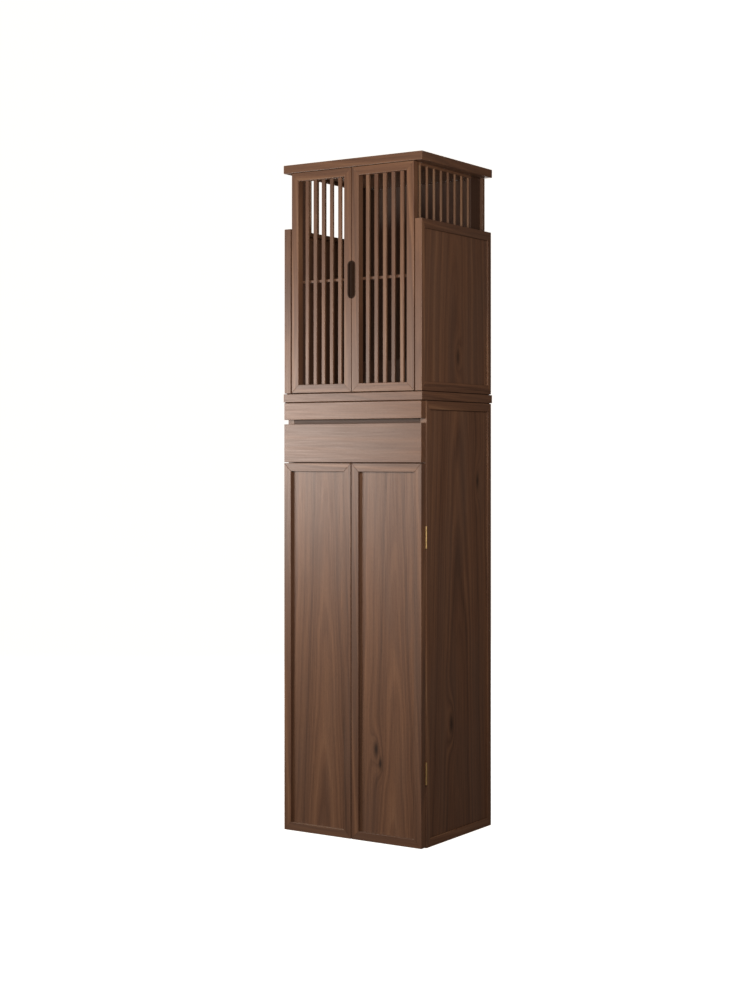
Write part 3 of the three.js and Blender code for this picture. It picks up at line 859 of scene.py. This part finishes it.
def backdrop_mesh():
    """A floor that turns up into a backdrop in one round bend."""
    bend_front = FLOOR_BACK - BACKDROP_BEND
    profile = [(FLOOR_FRONT, 0.0), (bend_front, 0.0)]
    for step in range(1, BEND_STEPS + 1):
        angle = math.pi / 2 * step / BEND_STEPS
        height = BACKDROP_BEND * (1 - math.cos(angle))
        profile.append((bend_front + BACKDROP_BEND * math.sin(angle), height))
    profile.append((FLOOR_BACK, BACKDROP_HEIGHT))
    points = [(x, y, z) for y, z in profile for x in (-FLOOR_HALF_WIDTH, FLOOR_HALF_WIDTH)]
    faces = [(2 * i, 2 * i + 1, 2 * i + 3, 2 * i + 2) for i in range(len(profile) - 1)]
    mesh = bpy.data.meshes.new("studio_backdrop")
    mesh.from_pydata(points, [], faces)
    mesh.shade_smooth()
    return mesh


def backdrop_paper():
    """White studio paper, lit from behind as on a light table: matt, with the faintest fibre mottle."""
    material, tree, shader = start_material("studio_paper")
    place = add_node(tree, "ShaderNodeTexCoord", output="Object")
    mottle = clouds(tree, place, PAPER_STRETCH, FINE_DETAIL)
    colour = bpy.context.scene.altar_studio.floor_colour
    duller = tuple(PAPER_MOTTLE * channel for channel in colour)
    inputs = {"Factor": mottle, COLOUR_A: opaque(colour), COLOUR_B: opaque(duller)}
    mottled = add_node(tree, "ShaderNodeMix", COLOURS, inputs, MIXED_COLOUR)
    glow = {"Emission Color": opaque(colour), "Emission Strength": PAPER_GLOW}
    feed(shader, {"Base Color": mottled, "Roughness": PAPER_ROUGHNESS, **glow})
    return material


def room_world(studio):
    """Soft warm light from all round, which shows to the camera as white as the backdrop."""
    world = bpy.data.worlds.new("studio_room")
    world.use_nodes = True
    tree = world.node_tree
    light = tree.nodes["Background"]
    feed(light, {"Color": opaque(studio.sky_colour), "Strength": studio.sky_strength})
    shown = add_node(tree, "ShaderNodeBackground", None, {"Color": opaque(studio.floor_colour)})
    seen = add_node(tree, "ShaderNodeLightPath", output="Is Camera Ray")
    lights = {0: seen, 1: light.outputs["Background"], 2: shown}
    room = add_node(tree, "ShaderNodeMixShader", None, lights)
    tree.links.new(room, tree.nodes["World Output"].inputs["Surface"])
    return world


class ALTAR_OT_stage(bpy.types.Operator):
    """Sets up the camera, the lights, the pale floor and the backdrop"""

    bl_idname = "altar.stage"
    bl_label = "Studio"

    def execute(self, context):
        scene = context.scene
        studio = scene.altar_studio
        camera_data = bpy.data.cameras.new("studio_camera")
        camera_data.sensor_width = SENSOR_WIDTH
        camera_data.lens = studio.focal_length
        camera_data.shift_y = studio.vertical_shift
        camera = bpy.data.objects.new("studio_camera", camera_data)
        scene.collection.objects.link(camera)
        camera.location = studio.camera_place
        camera.rotation_euler = Euler((math.pi / 2, 0.0, studio.camera_turn))
        scene.camera = camera
        for light in LAMPS:
            add_lamp(light)
        scene.world = room_world(studio)
        mesh = backdrop_mesh()
        mesh.materials.append(backdrop_paper())
        backdrop = bpy.data.objects.new("studio_backdrop", mesh)
        scene.collection.objects.link(backdrop)
        # The paper shows white to the camera, and throws no light back on the dark wood.
        backdrop.visible_diffuse = False
        backdrop.visible_glossy = False
        scene.view_settings.view_transform = "Standard"
        return {"FINISHED"}


class ALTAR_OT_long_boards(bpy.types.Operator):
    """Makes the middle board, the cornice, and the reveal boards under and over the middle board in walnut
    darkened with painted shade
    """

    bl_idname = "altar.long_boards"
    bl_label = "Middle board and cornice"

    def execute(self, context):
        easing = context.scene.altar_woodwork.board_easing
        for node in ("middle_board", "cornice_board"):
            make_piece(f"{node}_wood", banded_board(node, easing), "cabinet", [node])
        # The reveal boards are dark boards in the shadow gaps, in walnut darkened with painted shade.
        for node in ("base_reveal_board", "shrine_reveal_board"):
            inside_board(node, "cabinet", X, Z)
        return {"FINISHED"}


class ALTAR_OT_side_walls(bpy.types.Operator):
    """Makes the mitred and panelled side walls of the base and the shoulders of the shrine"""

    bl_idname = "altar.side_walls"
    bl_label = "Side walls and shoulders"

    def execute(self, context):
        easing = context.scene.altar_woodwork.frame_easing
        for side in SIDES:
            for wall, rail in (("base_side", SIDE_RAIL), ("shoulder", SHOULDER_RAIL)):
                frame_node, panel_node = f"{wall}_frame_{side}", f"{wall}_panel_{side}"
                framed_piece(frame_node, "cabinet", X, SIDE_STILE, rail, walnut_side, easing)
                plain_piece(panel_node, "cabinet", Z, X, PLAIN, walnut_side, easing)
        return {"FINISHED"}


class ALTAR_OT_base_doors(bpy.types.Operator):
    """Makes the mitred frames and the figured panels of the two base doors"""

    bl_idname = "altar.base_doors"
    bl_label = "Base doors"

    def execute(self, context):
        easing = context.scene.altar_woodwork.frame_easing
        for side in SIDES:
            body = f"base_door_{side}"
            frame_node, panel_node = f"base_door_frame_{side}", f"base_door_panel_{side}"
            framed_piece(frame_node, body, Y, DOOR_MEMBER, DOOR_MEMBER, walnut_front, easing)
            plain_piece(panel_node, body, Z, Y, PLAIN, walnut_front, easing)
        return {"FINISHED"}


class ALTAR_OT_shrine_doors(bpy.types.Operator):
    """Makes the slatted doors of the shrine with their pivot pins, slats and bars"""

    bl_idname = "altar.shrine_doors"
    bl_label = "Shrine doors"

    def execute(self, context):
        for side in SIDES:
            self.make_frame(context, side)
            self.make_slats(context, side)
            plain_piece(
                f"shrine_door_bar_{side}", f"shrine_door_{side}", X, Y, STRAIGHT, walnut_side,
                context.scene.altar_woodwork.frame_easing,
            )
        return {"FINISHED"}

    def make_frame(self, context, side):
        node = f"shrine_door_frame_{side}"
        low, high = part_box(node)
        surface = merged_copy(node)
        outward = 1 if side == "right" else -1
        hinge_side = high[X] if side == "right" else low[X]
        near_middle = [v.co.z for v in surface.verts if abs(v.co.x) < abs(hinge_side) / 2]
        bottom, top = min(near_middle), max(near_middle)
        pins = [
            v for v in surface.verts if v.co.z < bottom - MERGE_DISTANCE or v.co.z > top + MERGE_DISTANCE
        ]
        bmesh.ops.delete(surface, geom=pins, context="VERTS")
        close_rims(surface)
        dissolve_flat(surface)
        easing = context.scene.altar_woodwork.frame_easing
        wood = finish(walnut_front)
        door_low, door_high = low.copy(), high.copy()
        door_low[Z], door_high[Z] = bottom, top
        boards = frame_members(node, surface, door_low, door_high, Y, DOOR_MEMBER, DOOR_MEMBER, wood, easing)
        pin_x = hinge_side - outward * PIVOT_INSET
        pin_y = low[Y] + PIVOT_INSET
        for pin_low, pin_high in ((low[Z], bottom), (top, high[Z])):
            pin = rod_surface(PIVOT_RADIUS, pin_x, pin_y, pin_low, pin_high)
            boards.append(Board(pin, figure_of(node, Z, Y, low, high, STRAIGHT), finish(blackened_steel)))
        make_piece(f"{node}_wood", boards, f"shrine_door_{side}", [node])

    def make_slats(self, context, side):
        nodes = [f"shrine_door_slat_{number}_{side}" for number in range(1, DOOR_SLAT_COUNT + 1)]
        first_low, first_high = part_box(nodes[0])
        next_low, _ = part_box(nodes[1])
        centre = (first_low + first_high) / 2
        size = first_high - first_low
        values = {
            "Count": DOOR_SLAT_COUNT,
            "First slat": (centre.x, centre.y, first_low.z),
            "Pitch": (next_low.x - first_low.x, 0.0, 0.0),
            "Size X": size.x,
            "Size Y": size.y,
            "Height": size.z,
            "Edge radius": context.scene.altar_woodwork.slat_easing,
            "Seed": DOOR_SLAT_SEED + SIDES.index(side),
            "Finish": finish(walnut_front),
        }
        name = f"shrine_door_slats_{side}"
        mesh = grown_mesh(name, named_tree("slat_rack", slat_rack_tree), values)
        link_piece(name, mesh, f"shrine_door_{side}", nodes)


class ALTAR_OT_finger_pulls(bpy.types.Operator):
    """Makes the two halves of the dark finger pull"""

    bl_idname = "altar.finger_pulls"
    bl_label = "Finger pull"

    def execute(self, context):
        easing = context.scene.altar_woodwork.pull_easing
        for side in SIDES:
            node = f"shrine_door_pull_{side}"
            plain_piece(node, f"shrine_door_{side}", Z, Y, STRAIGHT, stained_pull, easing)
        return {"FINISHED"}


class ALTAR_OT_side_screens(bpy.types.Operator):
    """Makes the slatted screens over the shoulders, with their head and sill rails"""

    bl_idname = "altar.side_screens"
    bl_label = "Side screens"

    def execute(self, context):
        for side in SIDES:
            node = f"side_screen_{side}"
            low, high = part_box(node)
            outward = 1 if side == "right" else -1
            core = low.x if side == "right" else high.x
            slat_inner = core + outward * SCREEN_RAIL_OVERHANG
            slat_outer = slat_inner + outward * SCREEN_SLAT_THICKNESS
            head_outer = slat_outer + outward * SCREEN_RAIL_OVERHANG
            sill_top = low.z + SCREEN_SILL_HEIGHT
            head_bottom = high.z - SCREEN_HEAD_HEIGHT
            sill = (low, Vector((high.x, high.y, sill_top)))
            head = (
                Vector((min(core, head_outer), low.y, head_bottom)),
                Vector((max(core, head_outer), high.y, high.z)),
            )
            wood = finish(walnut_side)
            rails = []
            for role, (rail_low, rail_high) in (("sill", sill), ("head", head)):
                surface = block_surface(rail_low, rail_high)
                ease_edges(surface, context.scene.altar_woodwork.frame_easing)
                figure = figure_of(f"{node} {role}", Y, X, rail_low, rail_high, STRAIGHT)
                rails.append(Board(surface, figure, wood))
            make_piece(f"side_screen_rails_{side}", rails, "cabinet", [node])
            pitch = (high.y - low.y - SCREEN_LAST_GAP - SCREEN_SLAT_WIDTH) / (SCREEN_SLAT_COUNT - 1)
            values = {
                "Count": SCREEN_SLAT_COUNT,
                "First slat": ((slat_inner + slat_outer) / 2, low.y + SCREEN_SLAT_WIDTH / 2, sill_top),
                "Pitch": (0.0, pitch, 0.0),
                "Size X": SCREEN_SLAT_THICKNESS,
                "Size Y": SCREEN_SLAT_WIDTH,
                "Height": head_bottom - sill_top,
                "Edge radius": context.scene.altar_woodwork.slat_easing,
                "Seed": SCREEN_SLAT_SEED + SIDES.index(side),
                "Finish": finish(walnut_slat_painted_highlight),
            }
            name = f"side_screen_slats_{side}"
            mesh = grown_mesh(name, named_tree("slat_rack", slat_rack_tree), values)
            link_piece(name, mesh, "cabinet", [node])
        return {"FINISHED"}


class ALTAR_OT_shrine_inside(bpy.types.Operator):
    """Makes the shrine's floor, back, posts and step"""

    bl_idname = "altar.shrine_inside"
    bl_label = "Inside the shrine"

    def execute(self, context):
        inside_board("shrine_floor_board", "cabinet", X, Z)
        inside_board("shrine_back_panel", "cabinet", Z, Y)
        inside_board("shrine_step", "cabinet", X, Z)
        easing = context.scene.altar_woodwork.board_easing
        for side in SIDES:
            node = f"shrine_front_post_{side}"
            # The front posts get the walnut darkened with painted shade, as the other inside boards do.
            plain_piece(node, "cabinet", Z, Y, STRAIGHT, walnut_inside_painted_shade, easing)
            self.make_rear_post(side, easing)
        return {"FINISHED"}

    def make_rear_post(self, side, easing):
        """The post is oiled as the outside is, and the narrower board in front of it is matt and darkened
        with painted shade.
        """
        node = f"shrine_rear_post_{side}"
        low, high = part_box(node)
        joint = high.y - REAR_POST_DEPTH
        board_sides = [v.co.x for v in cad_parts[node].data.vertices if v.co.y < joint - MERGE_DISTANCE]
        post = (Vector((low.x, joint, low.z)), high)
        board = (Vector((min(board_sides), low.y, low.z)), Vector((max(board_sides), joint, high.z)))
        boards = []
        for role, depth, maker, (part_low, part_high) in (
            ("post", Y, walnut_side, post), ("board", X, walnut_inside_painted_shade, board)
        ):
            surface = block_surface(part_low, part_high)
            ease_edges(surface, easing)
            figure = figure_of(f"{node} {role}", Z, depth, part_low, part_high, STRAIGHT)
            boards.append(Board(surface, figure, finish(maker)))
        make_piece(f"{node}_wood", boards, "cabinet", [node])


class ALTAR_OT_base_inside(bpy.types.Operator):
    """Makes the bottom board, the rails and the back panel of the base"""

    bl_idname = "altar.base_inside"
    bl_label = "Inside the base"

    def execute(self, context):
        for node in ("base_bottom_board", "base_drawer_rail", "base_tray_rail"):
            inside_board(node, "cabinet", X, Z)
        inside_board("base_back_panel", "cabinet", Z, Y)
        return {"FINISHED"}


class ALTAR_OT_drawer(bpy.types.Operator):
    """Makes the drawer's front, walls, back and bottom"""

    bl_idname = "altar.drawer"
    bl_label = "Drawer"

    def execute(self, context):
        easing = context.scene.altar_woodwork.board_easing
        plain_piece("drawer_front", "drawer", X, Y, RIFT, walnut_drawer, easing)
        inside_board("drawer_bottom", "drawer", X, Z)
        inside_board("drawer_back", "drawer", X, Y, RIFT)
        for side in SIDES:
            inside_board(f"drawer_wall_{side}", "drawer", Y, X, RIFT)
        return {"FINISHED"}


class ALTAR_OT_offering_tray(bpy.types.Operator):
    """Makes the pull-out offering tray"""

    bl_idname = "altar.offering_tray"
    bl_label = "Offering tray"

    def execute(self, context):
        easing = context.scene.altar_woodwork.board_easing
        plain_piece("tray_front", "offering_tray", X, Y, RIFT, walnut_drawer, easing)
        inside_board("tray_board", "offering_tray", X, Z)
        return {"FINISHED"}


class ALTAR_OT_hinges(bpy.types.Operator):
    """Makes the four brass butt hinges of the base doors, with their screws"""

    bl_idname = "altar.hinges"
    bl_label = "Brass hinges"

    def execute(self, context):
        for side in SIDES:
            for level in ("lower", "upper"):
                self.make_leaf(context, side, level, "carcass", "cabinet")
                self.make_leaf(context, side, level, "door", f"base_door_{side}")
        return {"FINISHED"}

    def make_leaf(self, context, side, level, role, body):
        node = f"hinge_{level}_{role}_leaf_{side}"
        hardware = context.scene.altar_hardware
        low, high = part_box(node)
        leaf = merged_copy(node)
        ease_edges(leaf, hardware.leaf_easing)
        brass = finish(brushed_brass)
        figure = figure_of(node, Z, Y, low, high, STRAIGHT)
        make_piece(f"{node}_brass", [Board(leaf, figure, brass)], body, [node], smooth=True)
        self.make_screws(node, body, side, role, low, high, hardware)

    def make_screws(self, node, body, side, role, low, high, hardware):
        """The screw heads stand a little proud of the leaf's free face."""
        inward = -1 if side == "right" else 1
        plate_end = low.x if side == "right" else high.x
        face = high.y - LEAF_THICKNESS if role == "carcass" else self.door_leaf_face(node)
        outward = -1 if role == "carcass" else 1
        values = {
            "Count": SCREW_COUNT,
            "First screw": (plate_end - inward * SCREW_EDGE_DISTANCE, face, low.z + SCREW_END_DISTANCE),
            "Pitch": (0.0, 0.0, (high.z - low.z - 2 * SCREW_END_DISTANCE) / (SCREW_COUNT - 1)),
            "Stagger": (-inward * SCREW_STAGGER, 0.0, 0.0),
            "Head radius": hardware.screw_radius,
            "Head height": 2 * hardware.screw_height,
            "Slot width": SCREW_SLOT_WIDTH,
            "Finish": finish(brushed_brass),
        }
        name = f"{node}_screws"
        mesh = grown_mesh(name, named_tree("screw_row", screw_row_tree), values)
        if outward > 0:
            for vertex in mesh.vertices:
                vertex.co.y = 2 * face - vertex.co.y
            mesh.flip_normals()
        link_piece(name, mesh, body, [node])

    def door_leaf_face(self, node):
        """The back face of a door leaf's plate, which lies beyond its barrels."""
        low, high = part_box(node)
        outer_edge = max(abs(low.x), abs(high.x))
        plate_edge = outer_edge - BARREL_REACH
        return max(v.co.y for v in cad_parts[node].data.vertices if abs(v.co.x) < plate_edge)


class ALTAR_PT_cabinet(bpy.types.Panel):
    """Lists the cabinet's sizes, colours and pieces"""

    bl_idname = "ALTAR_PT_cabinet"
    bl_label = "Altar cabinet"
    bl_space_type = "VIEW_3D"
    bl_region_type = "UI"
    bl_category = "Altar"

    def draw(self, context):
        layout = self.layout
        for name in SETTINGS:
            settings = getattr(context.scene, name)
            box = layout.box()
            for key in settings.__annotations__:
                box.prop(settings, key)
        for operator in OPERATORS:
            layout.operator(operator.bl_idname)


SETTINGS = {
    "altar_woodwork": ALTAR_PG_woodwork,
    "altar_hardware": ALTAR_PG_hardware,
    "altar_walnut": ALTAR_PG_walnut,
    "altar_studio": ALTAR_PG_studio,
}
OPERATORS = (
    ALTAR_OT_stage,
    ALTAR_OT_long_boards,
    ALTAR_OT_side_walls,
    ALTAR_OT_base_doors,
    ALTAR_OT_shrine_doors,
    ALTAR_OT_finger_pulls,
    ALTAR_OT_side_screens,
    ALTAR_OT_shrine_inside,
    ALTAR_OT_base_inside,
    ALTAR_OT_drawer,
    ALTAR_OT_offering_tray,
    ALTAR_OT_hinges,
)


def register():
    for group in SETTINGS.values():
        bpy.utils.register_class(group)
    for name, group in SETTINGS.items():
        setattr(bpy.types.Scene, name, bpy.props.PointerProperty(type=group))
    for operator in OPERATORS:
        bpy.utils.register_class(operator)
    bpy.utils.register_class(ALTAR_PT_cabinet)


def unregister():
    bpy.utils.unregister_class(ALTAR_PT_cabinet)
    for operator in reversed(OPERATORS):
        bpy.utils.unregister_class(operator)
    for name, group in SETTINGS.items():
        delattr(bpy.types.Scene, name)
        bpy.utils.unregister_class(group)


def main():
    register()
    for operator in OPERATORS:
        prefix, action = operator.bl_idname.split(".")
        getattr(getattr(bpy.ops, prefix), action)()


if __name__ == "__main__":
    main()
